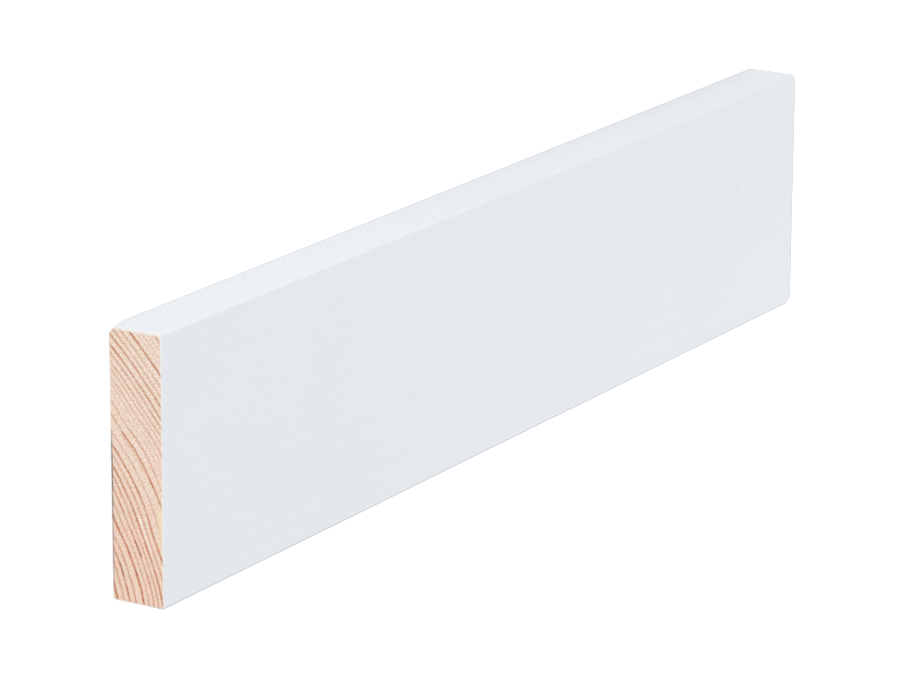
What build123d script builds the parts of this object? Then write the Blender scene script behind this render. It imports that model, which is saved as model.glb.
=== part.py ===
"""Flat moulding: one straight length of planed pine, such as is fixed round doors and windows.

It is a single piece of wood with a plain rectangular section. A moulder has planed all four
sides and eased the four long arrises, and both ends are sawn square. The four sides are
painted white, and the sawn ends are bare wood.

It lies on its back with its face up. X runs along the length, Y across the width and Z up
through the thickness, and the origin is the middle of the back. All sizes are in millimetres.
"""

import os

from build123d import *

# The length that the piece is sawn to
LENGTH = 320.0

# The section that the moulder planes: its width, its thickness and the radius of its arrises
WIDTH = 69.0
THICKNESS = 15.0
ARRIS_RADIUS = 0.6


def planed_section():
    """The section square to the length, standing on its back, with its four arrises eased."""
    blank = Plane.YZ * Rectangle(WIDTH, THICKNESS, align=(Align.CENTER, Align.MIN))
    return fillet(blank.vertices(), ARRIS_RADIUS)


def flat_moulding():
    """The section run along the length, half to each side of the middle, and sawn square."""
    return extrude(planed_section(), amount=LENGTH / 2, both=True)


os.makedirs("parts", exist_ok=True)
export_step(flat_moulding(), "parts/flat_moulding.step")
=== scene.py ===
"""The look of a short length of flat moulding: planed pine, painted white on its four sides.

The piece lies on its back on a pale floor. X runs along its length, Y across its width and Z
up through its thickness, in metres. One closed mesh stands for the solid. Its four sides are
one skin, and the two sawn ends are finer meshes, worn a little along their edges. The growth
rings are worked out in three dimensions, round a pith that lies outside the piece, so that the
two ends and the faint grain under the paint all belong to one piece of wood.
"""

import math

import bpy
import numpy as np
from mathutils import Matrix, Vector
from mathutils.geometry import delaunay_2d_cdt


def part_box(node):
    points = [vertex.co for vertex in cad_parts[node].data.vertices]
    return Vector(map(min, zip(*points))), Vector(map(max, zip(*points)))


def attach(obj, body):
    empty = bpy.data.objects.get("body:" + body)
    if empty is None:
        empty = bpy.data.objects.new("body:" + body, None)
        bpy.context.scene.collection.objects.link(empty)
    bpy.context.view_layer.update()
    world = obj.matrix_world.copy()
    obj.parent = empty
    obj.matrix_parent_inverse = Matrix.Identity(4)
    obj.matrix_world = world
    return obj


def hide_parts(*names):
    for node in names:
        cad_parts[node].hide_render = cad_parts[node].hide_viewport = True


MM = 0.001
SEED = 29
NODE = "flat_moulding"
BODY = "root"

# The picture's frame, and the camera: where it stands as seen from the piece, in degrees and
# metres, how far it is rolled to the left, the point it looks at, and its lens
PICTURE_WIDTH = 900
SENSOR_WIDTH_MM = 36.0
FOCAL_LENGTH_PX = 4736
CAMERA_AZIMUTH = -109.201
CAMERA_ELEVATION = 30.416
CAMERA_ROLL = 100.239
CAMERA_DISTANCE = 1.26384
LOOKED_AT = Vector((-0.007042, -0.007833, 0.00057))

# The mesh: the spacing of its points round the section and on the ends, the number of steps
# round an arris, and how far points keep from each other where the two meet
POINT_SPACING = 0.34 * MM
ARRIS_STEPS = 8
EDGE_CLEARANCE = 0.22 * MM
STATION_SPACING = 5.5 * MM
END_STATIONS = tuple(x * MM for x in (0.35, 0.8, 1.6, 2.8, 4.4, 6.4, 9.0))

# The sawn edges are broken by this much, give or take, and chipped here and there
BROKEN_EDGE = 0.09 * MM
EDGE_RAGGEDNESS = 0.05 * MM

# The corners that are knocked off: which side each is on along X, Y and Z, and how far the
# small slanting face reaches along each, in millimetres
KNOCKED_CORNERS = (
    ((-1, 1, -1), (7.0, 1.6, 1.5)),
    ((1, -1, 1), (1.6, 1.6, 1.4)),
    ((1, 1, 1), (0.9, 0.9, 0.9)),
)

# The map for baking, in pixels: its size, the margin, and how many pixels go to a millimetre of
# the sides, unrolled from the lower back arris, and of the ends
MAP_SIZE = 1024
MAP_MARGIN = 18
SIDE_SCALE = 3.0
END_SCALE = 14.0

# The long sides wander from flat by this much, over about this length, and longer along X
SIDE_WANDER = 0.02 * MM
SIDE_WAVELENGTH = 45 * MM
SIDE_SQUEEZE = 0.4

# The pith runs along X, below the back and beyond the lower edge, in millimetres
PITH_Y = -54.3
PITH_Z = -79.0
# How far the pith moves over a length, in millimetres
PITH_DRIFT_Y = 1.6
PITH_DRIFT_Z = -1.1
PITH_DRIFT_LENGTH = 320.0

# The rings that the near end shows, as the radius in millimetres and how dark the latewood is
RINGS = (
    (79.6, 0.50),
    (81.3, 0.35),
    (82.9, 0.90),
    (84.7, 0.45),
    (86.3, 0.62),
    (88.0, 0.50),
    (90.2, 0.80),
    (91.7, 0.42),
    (93.2, 0.54),
    (94.6, 0.48),
    (96.0, 0.70),
    (97.6, 0.50),
    (99.3, 0.70),
    (101.5, 0.38),
    (104.3, 0.68),
    (106.3, 0.42),
    (107.7, 0.18),
    (108.9, 0.22),
    (110.1, 0.40),
    (111.5, 0.30),
    (112.7, 0.45),
    (114.3, 0.55),
    (115.8, 0.70),
    (117.7, 0.68),
    (119.2, 0.48),
    (120.8, 0.44),
    (122.7, 0.85),
    (124.1, 0.14),
    (125.2, 0.24),
    (126.5, 0.13),
    (127.9, 0.50),
    (129.6, 0.30),
    (131.3, 0.60),
)

# Where the rings swell or pinch on the near end: height above the lower edge and depth from
# the back in millimetres, how far they shift outwards, and over what reach
RING_SHIFTS = (
    (44.0, 2.0, -0.55, 6.0),
    (41.0, 14.0, 0.85, 6.5),
    (34.0, 3.0, 0.15, 5.0),
    (28.0, 9.0, 0.35, 5.5),
    (19.0, 0.0, -0.75, 6.2),
    (17.0, 14.0, -0.40, 5.0),
    (12.0, 5.0, 0.25, 5.0),
    (3.0, 9.0, 0.50, 5.5),
)

# Marks along the rings of the near end: radius, from and to in degrees round the pith, width
# in millimetres, and how much darker the wood is there, or paler where it is less than nothing
RING_MARKS = (
    (86.4, 18.0, 20.0, 0.30, 0.60),
    (90.2, 17.6, 19.0, 0.30, 0.40),
    (93.1, 20.3, 22.6, 0.30, 0.60),
    (99.3, 35.0, 36.0, 0.30, 0.40),
    (122.9, 46.5, 48.0, 0.30, 0.30),
    (104.4, 37.5, 42.5, 1.40, -0.16),
    (103.5, 31.5, 37.0, 0.80, 0.16),
)
# A streak of open grain on the near end: radius, from and to in degrees, and width
PALE_STREAK = (96.8, 20.5, 25.9, 0.35)
# Where along X the marks of the near end fade out, inside the piece, in millimetres
NEAR_END = (-158.0, -150.0)
# The length of arc round the pith that goes with a radian, in millimetres
ARC_PER_RADIAN = 105.0
# Latewood deepens outwards over a width that grows with its darkness, and then soon ends, in mm
LATEWOOD_START = 0.45
LATEWOOD_START_BY_DARKNESS = 0.35
LATEWOOD_END = 0.38
# How much nearer the pith the rings lie than the radii say, how much they waver, and how much
# they have changed by the far end, each with the size of its features, in mm
RINGS_INWARDS = 0.16
RING_WAVER, RING_WAVER_SIZE = 0.05, 12.0
RING_CHANGE, RING_CHANGE_SIZE = 0.30, 30.0
# Features of the rings are this many times longer along X
RING_STRETCH = 18.0

# The sawn ends: how far the earlywood lies below the latewood, how far fibres stand up, and the
# fineness of fibres and of the raggedness of the edges
EARLYWOOD_SINK = 0.035 * MM
FIBRE_HEIGHT = 0.008 * MM
FIBRE_SIZE = 0.9 * MM
FINE_RAGGEDNESS = 1.1 * MM
COARSE_RAGGEDNESS = 4.0 * MM

# Colours as they show on a screen, 0 to 255. The pairs are of the upper and of the lower part
# of the near end for the wood, and two shades that cloud into each other for the paint.
EARLYWOOD = ((245, 224, 210), (249, 212, 191))
YELLOWER_EARLYWOOD = (241, 221, 198)
LATEWOOD = ((196, 130, 88), (196, 106, 50))
DENSEST_LATEWOOD = (118, 62, 36)
STANDING_FIBRE = (255, 249, 243)
DEEP_FIBRE = (196, 152, 124)
PINK_TINT = (247, 200, 184)
YELLOW_TINT = (234, 222, 184)
RAY = (250, 232, 218)
OPEN_GRAIN = (255, 244, 232)
YELLOW_PATCH = (246, 228, 192)
PAINT_ON_THE_END = (243, 240, 234)
DARK_BACK_LINE = (52, 78, 68)
PAINT = ((229, 233, 238), (231, 235, 240))
PAINT_OVER_LATEWOOD = (214, 208, 196)
# The grey of the shade painted along the arrises and at the far end, and of the speck on the face
EDGE_SHADE_AND_SPECK = (128, 136, 140)

# The upper back, lower front and lower back arris, greyed as painted shade: how strong that is,
# and where it begins and is full, as height above the lower edge and depth from the back, in mm
SHADED_ARRISES = (
    (0.32, (68.3, 68.6), (0.95, 0.50)),
    (0.544, (0.58, 0.28), (14.2, 14.5)),
    (0.32, (0.6, 0.3), (0.6, 0.3)),
)
# The same painted shade at the far end, by X
SHADED_FAR_END = (0.416, (159.3, 159.8))

# A speck on the face: its X and its height above the lower edge, half its size along each, in
# millimetres, and how strong it is
SPECK_PLACE = (126.1, 42.0)
SPECK_SIZE = (1.15, 0.70)
SPECK_STRENGTH = 0.09

# Light: the sky's strength, the glow that brings the floor up to white for the eye, and the
# lamps, each with its place, the point it is turned to, its size in metres and its power in watts
SKY_STRENGTH = 0.36
FLOOR_LIFT = 0.30
LAMPS = (
    ("key", (-1.355, 1.305, 0.84), (0, 0, 0), 1.68, 28.3),
    ("fill", (0.45, -0.3, 0.5), (0, 0, 0), 0.5, 1.05),
    ("over", (0.1, 0, 2.5), (0, 0, 0), 1.6, 17.3),
)
# The floor: its grey, how far it reaches each way, and how far it lies below the piece
WHITE = (1, 1, 1, 1)
FLOOR_GREY = (0.8, 0.8, 0.8, 1)
FLOOR_REACH = 4.0
FLOOR_GAP = 0.1 * MM


def smooth_noise(points, wavelength, seed, waves=9):
    """Smooth noise of about -1 to 1 at each point, with features of about this size."""
    random = np.random.default_rng(seed)
    total = np.zeros(len(points))
    for _ in range(waves):
        direction = random.normal(size=3)
        direction /= np.linalg.norm(direction)
        length = wavelength * random.uniform(0.6, 1.6)
        phase = random.uniform(0, 2 * math.pi)
        total += np.sin(points @ direction * (2 * math.pi / length) + phase)
    return total / math.sqrt(waves)


def grain_coordinates(points, near_x, low_y):
    """For points in metres: the radius of their ring, the way along the ring and X, in mm."""
    x, y, z = (points / MM).T
    along = (x - near_x / MM) / PITH_DRIFT_LENGTH
    pith_y = PITH_Y + PITH_DRIFT_Y * along
    pith_z = PITH_Z + PITH_DRIFT_Z * along
    radius = np.hypot(y - pith_y, z - pith_z)
    angle = np.arctan2(y - pith_y, z - pith_z)
    height = y - low_y / MM
    for at_height, at_depth, shift, reach in RING_SHIFTS:
        away = np.hypot(height - at_height, z - at_depth)
        radius = radius - shift * np.exp(-((away / reach) ** 2))
    squeezed = np.stack([x / RING_STRETCH, y, z], 1)
    radius = radius + RINGS_INWARDS + RING_WAVER * smooth_noise(squeezed, RING_WAVER_SIZE, SEED)
    radius = radius + RING_CHANGE * along * smooth_noise(squeezed, RING_CHANGE_SIZE, SEED + 1)
    return np.stack([radius, angle * ARC_PER_RADIAN, x], 1)


def latewood_start(darkness):
    """How far inside its dark edge a ring's latewood begins, in mm."""
    return LATEWOOD_START + LATEWOOD_START_BY_DARKNESS * darkness


def latewood(radius):
    """How dark the latewood is at each radius, as the shader draws it."""
    dark = np.zeros(len(radius))
    for ring, darkness in RINGS:
        inner = latewood_start(darkness)
        grown = np.clip((radius - ring + inner) / inner, 0, 1)
        ended = np.clip((ring + LATEWOOD_END - radius) / LATEWOOD_END, 0, 1)
        dark = np.maximum(dark, darkness * grown**2 * (3 - 2 * grown) * ended)
    return dark


def section_outline(half_width, thickness, arris):
    """Points round the section from the lower back arris along the back, and their normals."""
    corners = (
        (half_width - arris, arris, -90),
        (half_width - arris, thickness - arris, 0),
        (-half_width + arris, thickness - arris, 90),
        (-half_width + arris, arris, 180),
    )
    points = []
    normals = []
    for k, (y, z, start) in enumerate(corners):
        before_y, before_z, _ = corners[k - 1]
        outward = Vector((math.cos(math.radians(start)), math.sin(math.radians(start))))
        flat_from = Vector((before_y, before_z)) + outward * arris
        flat_to = Vector((y, z)) + outward * arris
        steps = round((flat_to - flat_from).length / POINT_SPACING)
        for i in range(steps):
            points.append(flat_from.lerp(flat_to, i / steps))
            normals.append(outward)
        for i in range(ARRIS_STEPS):
            turn = math.radians(start + 90 * i / ARRIS_STEPS)
            outward = Vector((math.cos(turn), math.sin(turn)))
            points.append(Vector((y, z)) + outward * arris)
            normals.append(outward)
    return np.array(points), np.array(normals)


def depth_inside(points, half_width, thickness, arris):
    """How far each point of the section's plane lies inside its outline."""
    y = np.abs(points[:, 0]) - (half_width - arris)
    z = np.abs(points[:, 1] - thickness / 2) - (thickness / 2 - arris)
    outside = np.hypot(np.maximum(y, 0), np.maximum(z, 0)) + np.minimum(np.maximum(y, z), 0)
    return arris - outside


def stations(half_length):
    """Where the skin's rings of points lie along X, closer together beside the ends."""
    near_ends = [half_length - away for away in (BROKEN_EDGE, *END_STATIONS)]
    middle = near_ends[-1]
    steps = round(2 * middle / STATION_SPACING)
    inner = list(np.linspace(-middle, middle, steps + 1))[1:-1]
    return np.array([-x for x in near_ends] + inner + near_ends[::-1])


def end_fill(outline, half_width, thickness, arris):
    """Points within the outline, and triangles that fill it, which count the outline first."""
    ys = np.arange(-half_width, half_width, POINT_SPACING)
    zs = np.arange(0, thickness, POINT_SPACING)
    grid = np.stack(np.meshgrid(ys, zs, indexing="ij"), -1).reshape(-1, 2)
    grid = grid[depth_inside(grid, half_width, thickness, arris) > BROKEN_EDGE + EDGE_CLEARANCE]
    count = len(outline)
    edges = [(i, (i + 1) % count) for i in range(count)]
    flat = [Vector(p) for p in np.concatenate([outline, grid])]
    made, _, faces, sources, _, _ = delaunay_2d_cdt(flat, edges, [], 1, 1e-9)
    if len(made) != len(flat) or any(s != [i] for i, s in enumerate(sources)):
        raise RuntimeError("the end's points moved while it was filled")
    return grid, faces


def knock_corner(points, corner, inwards):
    """Moves the points beyond a small slanting face onto it. It reaches inwards from corner."""
    share = ((points - corner) / inwards).sum(1)
    beyond = np.clip(1 - share, 0, None)[:, None]
    return points + beyond / 3 * inwards


def moulding_mesh(low, high, arris):
    """One closed mesh of the piece, with its map for baking and what its materials go by.

    That is the grain coordinates of each point, and its height above the lower edge, its depth
    from the back and how far it lies inside the section's outline, in millimetres.
    """
    half_length = (high.x - low.x) / 2
    half_width = (high.y - low.y) / 2
    thickness = high.z - low.z
    outline, normals = section_outline(half_width, thickness, arris)
    count = len(outline)
    xs = stations(half_length)

    # Where the skin and the two ends lie on the map, in pixels
    steps = np.linalg.norm(np.roll(outline, -1, 0) - outline, axis=1)
    unrolled = np.append(0, np.cumsum(steps)) / MM
    skin_left = MAP_SIZE / 2 - half_length / MM * SIDE_SCALE
    skin_top = MAP_MARGIN + unrolled[-1] * SIDE_SCALE
    columns = [skin_left + (x + half_length) / MM * SIDE_SCALE for x in xs]
    rows = [skin_top - way * SIDE_SCALE for way in unrolled]
    end_bottom = skin_top + MAP_MARGIN
    end_step = thickness / MM * END_SCALE + MAP_MARGIN

    # The four sides, as one skin of rings that wander a little from flat, and only inwards
    skin = np.zeros((len(xs), count, 3))
    skin[:, :, 0] = xs[:, None]
    skin[:, :, 1:] = outline
    flat_skin = skin.reshape(-1, 3)
    squeezed = flat_skin * (SIDE_SQUEEZE, 1, 1)
    wander = smooth_noise(squeezed, SIDE_WAVELENGTH, SEED + 2).reshape(len(xs), count, 1)
    skin[:, :, 1:] += normals * (wander - 1.5) / 2.5 * SIDE_WANDER

    # The sawn ends, each an outline set in from the skin and the points within it
    vertices = [skin.reshape(-1, 3)]
    faces = []
    face_material = []
    pixels = []
    total = skin.shape[0] * count
    inset_outline = outline - normals * BROKEN_EDGE
    grid, triangles = end_fill(inset_outline, half_width, thickness, arris)
    for ring in range(len(xs) - 1):
        for i in range(count):
            j = (i + 1) % count
            a, b = ring * count, (ring + 1) * count
            faces.append((a + i, a + j, b + j, b + i))
            face_material.append(0)
            left, right = columns[ring : ring + 2]
            first, second = rows[i : i + 2]
            pixels += [(left, first), (left, second), (right, second), (right, first)]
    for side, ring in ((-1, 0), (1, len(xs) - 1)):
        x = side * half_length
        map_corner = np.array([MAP_SIZE / 2, end_bottom + max(side, 0) * end_step])
        rim = np.column_stack([np.full(count, x), inset_outline])
        rough = smooth_noise(rim, FINE_RAGGEDNESS, SEED + 3)
        rough = rough + 0.8 * smooth_noise(rim, COARSE_RAGGEDNESS, SEED + 4)
        worn = np.clip(rough, 0, 2.5)[:, None] * EDGE_RAGGEDNESS
        rim[:, 1:] -= normals * worn
        rim[:, 0] -= side * worn[:, 0] * 0.6
        inside = np.column_stack([np.full(len(grid), x), grid])
        dark = latewood(grain_coordinates(inside, -half_length, -half_width)[:, 0])
        fibre = smooth_noise(inside, FIBRE_SIZE, SEED + 5)
        inside[:, 0] -= side * (EARLYWOOD_SINK * (1 - dark) + FIBRE_HEIGHT * (fibre + 1))
        vertices += [rim, inside]
        outer = map_corner + outline / MM * END_SCALE * (side, 1)
        inner = map_corner + np.concatenate([inset_outline, grid]) / MM * END_SCALE * (side, 1)
        for i in range(count):
            j = (i + 1) % count
            quad = [(ring * count + i, outer[i]), (ring * count + j, outer[j])]
            quad += [(total + j, inner[j]), (total + i, inner[i])]
            quad = quad if side > 0 else quad[::-1]
            faces.append([k for k, _ in quad])
            face_material.append(1)
            pixels += [spot for _, spot in quad]
        for triangle in triangles:
            triangle = triangle if side > 0 else triangle[::-1]
            faces.append([total + k for k in triangle])
            face_material.append(1)
            pixels += [inner[k] for k in triangle]
        total += count + len(inside)

    mesh = bpy.data.meshes.new("painted_moulding")
    points = np.concatenate(vertices)
    points[:, 0] += (low.x + high.x) / 2
    points[:, 1] += (low.y + high.y) / 2
    for sides, reach in KNOCKED_CORNERS:
        corner = [(low, high)[side > 0][axis] for axis, side in enumerate(sides)]
        points = knock_corner(points, corner, -np.array(sides) * reach * MM)
    points = np.clip(points, low, high)
    mesh.from_pydata(points.tolist(), [], faces)
    mesh.polygons.foreach_set("material_index", face_material)
    mesh.polygons.foreach_set("use_smooth", [True] * len(faces))
    grain = mesh.attributes.new("grain", "FLOAT_VECTOR", "POINT")
    grain.data.foreach_set("vector", grain_coordinates(points, low.x, low.y).ravel())
    across = points[:, 1:] - ((low.y + high.y) / 2, 0)
    within = depth_inside(across, half_width, thickness, arris)
    section = np.stack([points[:, 1] - low.y, points[:, 2] - low.z, within], 1) / MM
    place = mesh.attributes.new("place", "FLOAT_VECTOR", "POINT")
    place.data.foreach_set("vector", section.ravel())
    mesh.uv_layers.new(name="OFBake").uv.foreach_set("vector", np.ravel(pixels) / MAP_SIZE)
    if mesh.validate():
        raise RuntimeError("the mesh had faults")
    mesh.update()
    return mesh


def add(tree, kind, inputs=None, **settings):
    """A node with its settings. Each input, by name or number, is a value or a node's output."""
    node = tree.nodes.new(kind)
    for name, value in settings.items():
        setattr(node, name, value)
    for name, value in (inputs or {}).items():
        if isinstance(value, bpy.types.NodeSocket):
            tree.links.new(value, node.inputs[name])
        else:
            node.inputs[name].default_value = value
    return node


def math_node(tree, operation, *values):
    """A Math node's output."""
    return add(tree, "ShaderNodeMath", dict(enumerate(values)), operation=operation).outputs[0]


def multiply(tree, *values):
    """The product of two or more values."""
    product = values[0]
    for value in values[1:]:
        product = math_node(tree, "MULTIPLY", product, value)
    return product


def ramp_to(tree, value, low, high, to_low=0.0, to_high=1.0, shape="SMOOTHSTEP"):
    """Maps value from low..high to to_low..to_high and holds it beyond them."""
    inputs = {"Value": value, "From Min": low, "From Max": high}
    inputs |= {"To Min": to_low, "To Max": to_high}
    return add(tree, "ShaderNodeMapRange", inputs, interpolation_type=shape).outputs[0]


def blend(tree, share, first, second):
    """The two colours mixed by share."""
    inputs = {0: share, 6: first, 7: second}
    return add(tree, "ShaderNodeMix", inputs, data_type="RGBA").outputs[2]


def noise(tree, vector, scale, detail=2.0, stretch=(1, 1, 1), offset=(0, 0, 0)):
    """Noise of 0 to 1 at vector, stretched and moved."""
    inputs = {"Vector": vector, "Scale": stretch, "Location": offset}
    moved = add(tree, "ShaderNodeMapping", inputs)
    inputs = {"Vector": moved.outputs[0], "Scale": scale, "Detail": detail}
    return add(tree, "ShaderNodeTexNoise", inputs, noise_dimensions="3D").outputs["Fac"]


def growth_ring_group():
    """How dark the latewood is at a radius in millimetres, as a group that materials share."""
    tree = bpy.data.node_groups.new("growth_rings", "ShaderNodeTree")
    tree.interface.new_socket("Radius", in_out="INPUT", socket_type="NodeSocketFloat")
    tree.interface.new_socket("Latewood", in_out="OUTPUT", socket_type="NodeSocketFloat")
    radius = add(tree, "NodeGroupInput").outputs["Radius"]
    total = None
    for ring, darkness in RINGS:
        inner = latewood_start(darkness)
        grown = ramp_to(tree, radius, ring - inner, ring, 0.0, darkness)
        ended = ramp_to(tree, radius, ring, ring + LATEWOOD_END, 1.0, 0.0, "LINEAR")
        line = multiply(tree, grown, ended)
        total = line if total is None else math_node(tree, "MAXIMUM", total, line)
    output = add(tree, "NodeGroupOutput")
    tree.links.new(total, output.inputs["Latewood"])
    return tree


def latewood_at(tree, rings, radius):
    """How dark the latewood is at radius, from the shared group."""
    return add(tree, "ShaderNodeGroup", {"Radius": radius}, node_tree=rings).outputs["Latewood"]


def new_material(name):
    """A material with its tree, its Principled shader, and each point's grain and place."""
    material = bpy.data.materials.new(name)
    material.use_nodes = True
    tree = material.node_tree
    shader = tree.nodes["Principled BSDF"]
    grain = add(tree, "ShaderNodeAttribute", attribute_name="grain").outputs["Vector"]
    place = add(tree, "ShaderNodeAttribute", attribute_name="place").outputs["Vector"]
    return material, tree, shader, grain, place


def colour(shown):
    """The shader's linear colour for one that is given as it shows on a screen, 0 to 255."""
    return (*[((c / 255 + 0.055) / 1.055) ** 2.4 for c in shown], 1.0)


def between(tree, value, low, high, soft):
    """1 where value lies from low to high, fading to 0 over soft beyond them."""
    risen = ramp_to(tree, value, low - soft, low)
    fallen = ramp_to(tree, value, high, high + soft, 1.0, 0.0)
    return multiply(tree, risen, fallen)


def ring_mark(tree, radius, arc, at_radius, from_degrees, to_degrees, width):
    """1 on a short mark along a ring, and 0 off it."""
    start, end = (math.radians(d) * ARC_PER_RADIAN for d in (from_degrees, to_degrees))
    across = between(tree, radius, at_radius - width / 2, at_radius + width / 2, 0.15)
    return multiply(tree, across, between(tree, arc, start, end, 0.6))


def sawn_pine(rings):
    """Bare pine on the sawn ends: pale earlywood, orange-brown latewood, rays and fibre."""
    material, tree, shader, grain, place = new_material("sawn_pine")
    radius, arc, along = add(tree, "ShaderNodeSeparateXYZ", {"Vector": grain}).outputs
    height, depth, inside = add(tree, "ShaderNodeSeparateXYZ", {"Vector": place}).outputs
    near_end = ramp_to(tree, along, *NEAR_END, 1.0, 0.0)

    # The rings are a little ragged, and each is darker and lighter along its way round
    ragged = ramp_to(tree, noise(tree, grain, 1.1, 3.0), 0.0, 1.0, -0.22, 0.22, "LINEAR")
    ragged_radius = math_node(tree, "ADD", radius, ragged)
    dark = latewood_at(tree, rings, ragged_radius)
    along_ring = noise(tree, grain, 1.0, 2.0, (0.9, 0.22, 0.1))
    dark = multiply(tree, dark, ramp_to(tree, along_ring, 0.3, 0.7, 0.70, 1.30, "LINEAR"))
    for *span, amount in RING_MARKS:
        mark = multiply(tree, ring_mark(tree, ragged_radius, arc, *span), near_end, amount)
        dark = math_node(tree, "ADD", dark, mark)
    dark = math_node(tree, "MAXIMUM", dark, 0.0)

    # Earlywood: pinkish cream that reddens downwards, yellower in patches
    lower = ramp_to(tree, arc, 85.0, 25.0)
    early = blend(tree, lower, *map(colour, EARLYWOOD))
    mottle = noise(tree, grain, 0.3, 2.0, (1, 0.45, 0.2), (3, 7, 1))
    mottle = ramp_to(tree, mottle, 0.4, 0.65, 0.0, 0.7)
    early = blend(tree, mottle, early, colour(YELLOWER_EARLYWOOD))

    # Latewood, darkest where it is densest
    late = blend(tree, lower, *map(colour, LATEWOOD))
    late = blend(tree, ramp_to(tree, dark, 0.75, 1.4), late, colour(DENSEST_LATEWOOD))
    wood = blend(tree, ramp_to(tree, dark, 0.0, 0.67, shape="LINEAR"), early, late)

    # Speckle of standing and torn fibre, most of it in the earlywood
    fibre = noise(tree, grain, 3.0, 2.0, (1, 0.8, 0.3))
    earlywood = ramp_to(tree, dark, 0.0, 0.7, 1.0, 0.4, "LINEAR")
    standing = multiply(tree, ramp_to(tree, fibre, 0.51, 0.62, 0.0, 0.82), earlywood)
    wood = blend(tree, standing, wood, colour(STANDING_FIBRE))
    deep = multiply(tree, ramp_to(tree, fibre, 0.48, 0.32, 0.0, 0.55), earlywood)
    wood = blend(tree, deep, wood, colour(DEEP_FIBRE))

    # Tints that change from fibre to fibre, fine rays across the rings, and the pale streak
    tint = noise(tree, grain, 1.5, 2.0, (1, 0.8, 0.3), (0, 31, 0))
    wood = blend(tree, ramp_to(tree, tint, 0.52, 0.70, 0.0, 0.40), wood, colour(PINK_TINT))
    wood = blend(tree, ramp_to(tree, tint, 0.48, 0.30, 0.0, 0.35), wood, colour(YELLOW_TINT))
    rays = noise(tree, grain, 1.0, 2.0, (0.6, 5.5, 0.2), (0, 11, 0))
    wood = blend(tree, ramp_to(tree, rays, 0.55, 0.75, 0.0, 0.45), wood, colour(RAY))
    streak = multiply(tree, ring_mark(tree, radius, arc, *PALE_STREAK), near_end)
    streak = multiply(tree, streak, ramp_to(tree, fibre, 0.40, 0.55, 0.25, 1.0))
    wood = blend(tree, streak, wood, colour(OPEN_GRAIN))

    # A yellower patch beside the face, low on the near end
    patch = multiply(tree, between(tree, height, 18.0, 24.0, 3.0), near_end)
    patch = multiply(tree, patch, ramp_to(tree, depth, 12.6, 14.2, 0.0, 0.75))
    wood = blend(tree, patch, wood, colour(YELLOW_PATCH))

    # Paint that ran over the edges when the sides were coated, most of it along the top
    upper_edge = ramp_to(tree, height, 67.5, 68.7, 0.10, 0.62)
    low_down = ramp_to(tree, height, 34.0, 20.0, 0.12, 0.30)
    front_edge = multiply(tree, ramp_to(tree, depth, 14.2, 14.6), low_down)
    run = ramp_to(tree, noise(tree, place, 1.1, 2.0), 0.30, 0.70, -0.18, 0.22, "LINEAR")
    lip = math_node(tree, "ADD", math_node(tree, "MAXIMUM", upper_edge, front_edge), run)
    lip = math_node(tree, "SUBTRACT", lip, inside)
    wood = blend(tree, ramp_to(tree, lip, -0.22, 0.12, 0.0, 0.90), wood, colour(PAINT_ON_THE_END))

    # A dark greenish line in dashes along the back's edge, in the lower half of the near end
    dashes = noise(tree, place, 0.5, 1.0, (1, 0.2, 0.2), (5, 0, 0))
    dark_line = multiply(
        tree,
        between(tree, height, 8.0, 38.0, 7.0),
        ramp_to(tree, dashes, 0.38, 0.58, 0.78, 1.0),
        ramp_to(tree, height, 17.0, 28.0, 0.65, 1.0),
        ramp_to(tree, depth, 0.28, 0.50, 1.0, 0.0),
        ramp_to(tree, run, -0.15, 0.10, 0.45, 0.95),
        near_end,
    )
    wood = blend(tree, dark_line, wood, colour(DARK_BACK_LINE))
    tree.links.new(wood, shader.inputs["Base Color"])
    shader.inputs["Roughness"].default_value = 0.78
    shader.inputs["Specular IOR Level"].default_value = 0.3

    bump = add(tree, "ShaderNodeBump", {"Height": fibre, "Strength": 0.6, "Distance": 0.08 * MM})
    tree.links.new(bump.outputs["Normal"], shader.inputs["Normal"])
    return material


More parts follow.
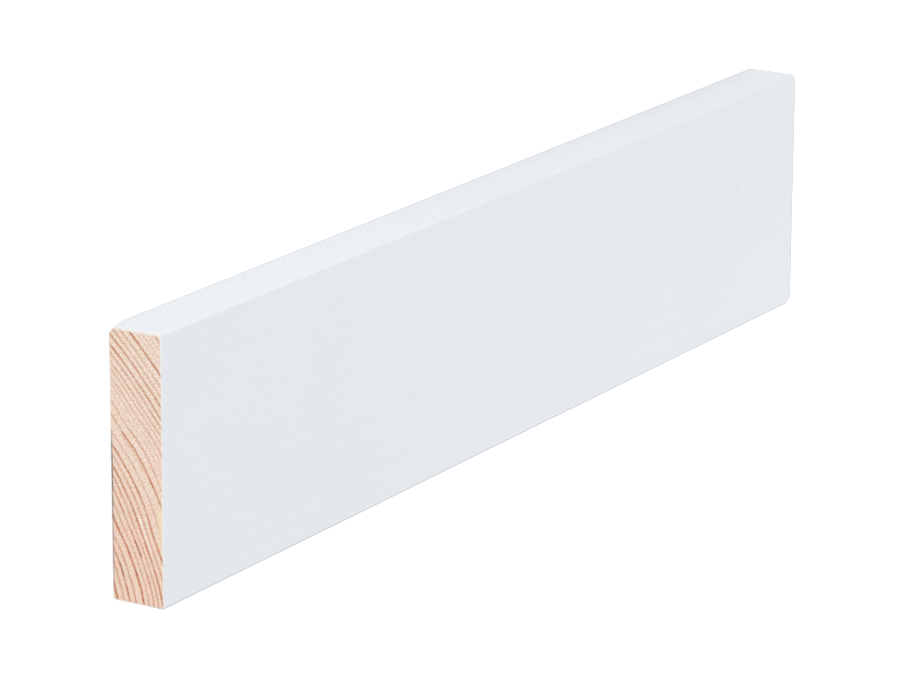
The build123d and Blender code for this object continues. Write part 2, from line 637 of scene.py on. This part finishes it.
def white_paint(rings):
    """Satin white paint, smooth, with the grain only just telling through it."""
    material, tree, shader, grain, place = new_material("white_paint")
    radius, _, along = add(tree, "ShaderNodeSeparateXYZ", {"Vector": grain}).outputs
    height, depth, _ = add(tree, "ShaderNodeSeparateXYZ", {"Vector": place}).outputs
    dark = latewood_at(tree, rings, radius)
    position = add(tree, "ShaderNodeTexCoord").outputs["Object"]

    paint = blend(tree, noise(tree, position, 18.0), *map(colour, PAINT))
    paint = blend(tree, multiply(tree, dark, 0.04), paint, colour(PAINT_OVER_LATEWOOD))

    # Painted shade: the paint is greyed along three arrises and at the far end
    strength, limits = SHADED_FAR_END
    painted_shade = multiply(tree, ramp_to(tree, along, *limits), strength)
    for strength, heights, depths in SHADED_ARRISES:
        on_arris = multiply(tree, ramp_to(tree, height, *heights), ramp_to(tree, depth, *depths))
        painted_shade = math_node(tree, "MAXIMUM", painted_shade, multiply(tree, on_arris, strength))
    paint = blend(tree, painted_shade, paint, colour(EDGE_SHADE_AND_SPECK))

    # A faint speck on the face
    squares = []
    for way, centre, size in zip((along, height), SPECK_PLACE, SPECK_SIZE):
        off = math_node(tree, "DIVIDE", math_node(tree, "SUBTRACT", way, centre), size)
        squares.append(math_node(tree, "POWER", off, 2.0))
    away = math_node(tree, "SQRT", math_node(tree, "ADD", *squares))
    speck = multiply(tree, ramp_to(tree, away, 1.2, 0.7), ramp_to(tree, depth, 14.7, 14.9))
    paint = blend(tree, multiply(tree, speck, SPECK_STRENGTH), paint, colour(EDGE_SHADE_AND_SPECK))
    tree.links.new(paint, shader.inputs["Base Color"])
    shader.inputs["Roughness"].default_value = 0.42

    peel = noise(tree, position, 900.0)
    relief = math_node(tree, "ADD", multiply(tree, dark, 0.4), multiply(tree, peel, 0.35))
    bump = add(tree, "ShaderNodeBump", {"Height": relief, "Strength": 0.25, "Distance": 0.02 * MM})
    tree.links.new(bump.outputs["Normal"], shader.inputs["Normal"])
    return material


def set_camera():
    """The camera where the photographer's stood, rolled because the piece lies on its back."""
    angles = (CAMERA_AZIMUTH, CAMERA_ELEVATION, CAMERA_ROLL)
    azimuth, elevation, roll = (math.radians(angle) for angle in angles)
    level = Vector((math.sin(azimuth), -math.cos(azimuth), 0)) * math.cos(elevation)
    back = level + Vector((0, 0, math.sin(elevation)))
    level_right = Vector((0, 0, 1)).cross(back).normalized()
    level_up = back.cross(level_right)
    up = level_up * math.cos(roll) - level_right * math.sin(roll)
    right = up.cross(back)
    data = bpy.data.cameras.new("camera")
    data.sensor_width = SENSOR_WIDTH_MM
    data.lens = SENSOR_WIDTH_MM * FOCAL_LENGTH_PX / PICTURE_WIDTH
    camera = bpy.data.objects.new("camera", data)
    turn = Matrix((right, up, back)).transposed()
    camera.matrix_world = Matrix.Translation(LOOKED_AT + back * CAMERA_DISTANCE) @ turn.to_4x4()
    bpy.context.scene.collection.objects.link(camera)
    bpy.context.scene.camera = camera


def seen_by_eye(tree):
    """1 for camera, glossy and transmission rays, and 0 for the rest."""
    path = add(tree, "ShaderNodeLightPath").outputs
    either = math_node(tree, "MAXIMUM", path["Is Camera Ray"], path["Is Glossy Ray"])
    return math_node(tree, "MAXIMUM", either, path["Is Transmission Ray"])


def set_world():
    """An even sky that lights softly, and shows as plain white."""
    world = bpy.data.worlds.new("studio")
    world.use_nodes = True
    tree = world.node_tree
    strength = ramp_to(tree, seen_by_eye(tree), 0.0, 1.0, SKY_STRENGTH, 1.0, "LINEAR")
    background = tree.nodes["Background"]
    background.inputs["Color"].default_value = WHITE
    tree.links.new(strength, background.inputs["Strength"])
    bpy.context.scene.world = world


def softbox(name, place, aim, size, power):
    """A square area lamp at place, turned to aim, which leaves no glare in the paint."""
    data = bpy.data.lights.new(name, "AREA")
    data.shape = "SQUARE"
    data.size = size
    data.energy = power
    lamp = bpy.data.objects.new(name, data)
    lamp.location = place
    lamp.rotation_mode = "QUATERNION"
    lamp.rotation_quaternion = (Vector(aim) - Vector(place)).to_track_quat("-Z", "Y")
    lamp.visible_camera = False
    lamp.visible_glossy = False
    bpy.context.scene.collection.objects.link(lamp)


def lay_floor(level):
    """A floor just under the piece, which takes its shadow.

    It is pale grey to the light that bounces off it, and white to the eye.
    """
    data = bpy.data.meshes.new("floor")
    sides = ((-1, -1), (1, -1), (1, 1), (-1, 1))
    corners = [(x * FLOOR_REACH, y * FLOOR_REACH, level) for x, y in sides]
    data.from_pydata(corners, [], [(0, 1, 2, 3)])
    floor = bpy.data.objects.new("floor", data)
    bpy.context.scene.collection.objects.link(floor)
    material = bpy.data.materials.new("floor")
    material.use_nodes = True
    tree = material.node_tree
    tree.nodes.clear()
    plain = add(tree, "ShaderNodeBsdfDiffuse", {"Color": FLOOR_GREY})
    white = add(tree, "ShaderNodeBsdfDiffuse", {"Color": WHITE})
    lift = add(tree, "ShaderNodeEmission", {"Color": WHITE, "Strength": FLOOR_LIFT})
    shown = add(tree, "ShaderNodeAddShader")
    tree.links.new(white.outputs[0], shown.inputs[0])
    tree.links.new(lift.outputs[0], shown.inputs[1])
    choice = add(tree, "ShaderNodeMixShader")
    tree.links.new(seen_by_eye(tree), choice.inputs[0])
    tree.links.new(plain.outputs[0], choice.inputs[1])
    tree.links.new(shown.outputs[0], choice.inputs[2])
    output = add(tree, "ShaderNodeOutputMaterial")
    tree.links.new(choice.outputs[0], output.inputs["Surface"])
    data.materials.append(material)


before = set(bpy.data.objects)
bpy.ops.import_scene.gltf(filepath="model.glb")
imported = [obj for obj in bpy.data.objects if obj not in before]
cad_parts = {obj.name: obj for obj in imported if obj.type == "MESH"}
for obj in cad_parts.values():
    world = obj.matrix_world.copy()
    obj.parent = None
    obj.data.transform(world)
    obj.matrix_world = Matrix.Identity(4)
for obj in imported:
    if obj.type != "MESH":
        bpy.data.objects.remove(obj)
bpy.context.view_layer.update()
low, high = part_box(NODE)
# The flat of the face falls short of the upper edge by the radius of the arris
solid_points = [v.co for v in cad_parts[NODE].data.vertices]
arris_radius = high.y - max(co.y for co in solid_points if co.z > high.z - 0.01 * MM)

rings = growth_ring_group()
mesh = moulding_mesh(low, high, arris_radius)
mesh.materials.append(white_paint(rings))
mesh.materials.append(sawn_pine(rings))
moulding = bpy.data.objects.new("painted_moulding", mesh)
bpy.context.scene.collection.objects.link(moulding)
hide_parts(NODE)
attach(moulding, BODY)

set_camera()
set_world()
for lamp in LAMPS:
    softbox(*lamp)
lay_floor(low.z - FLOOR_GAP)
bpy.context.scene.view_settings.view_transform = "Standard"
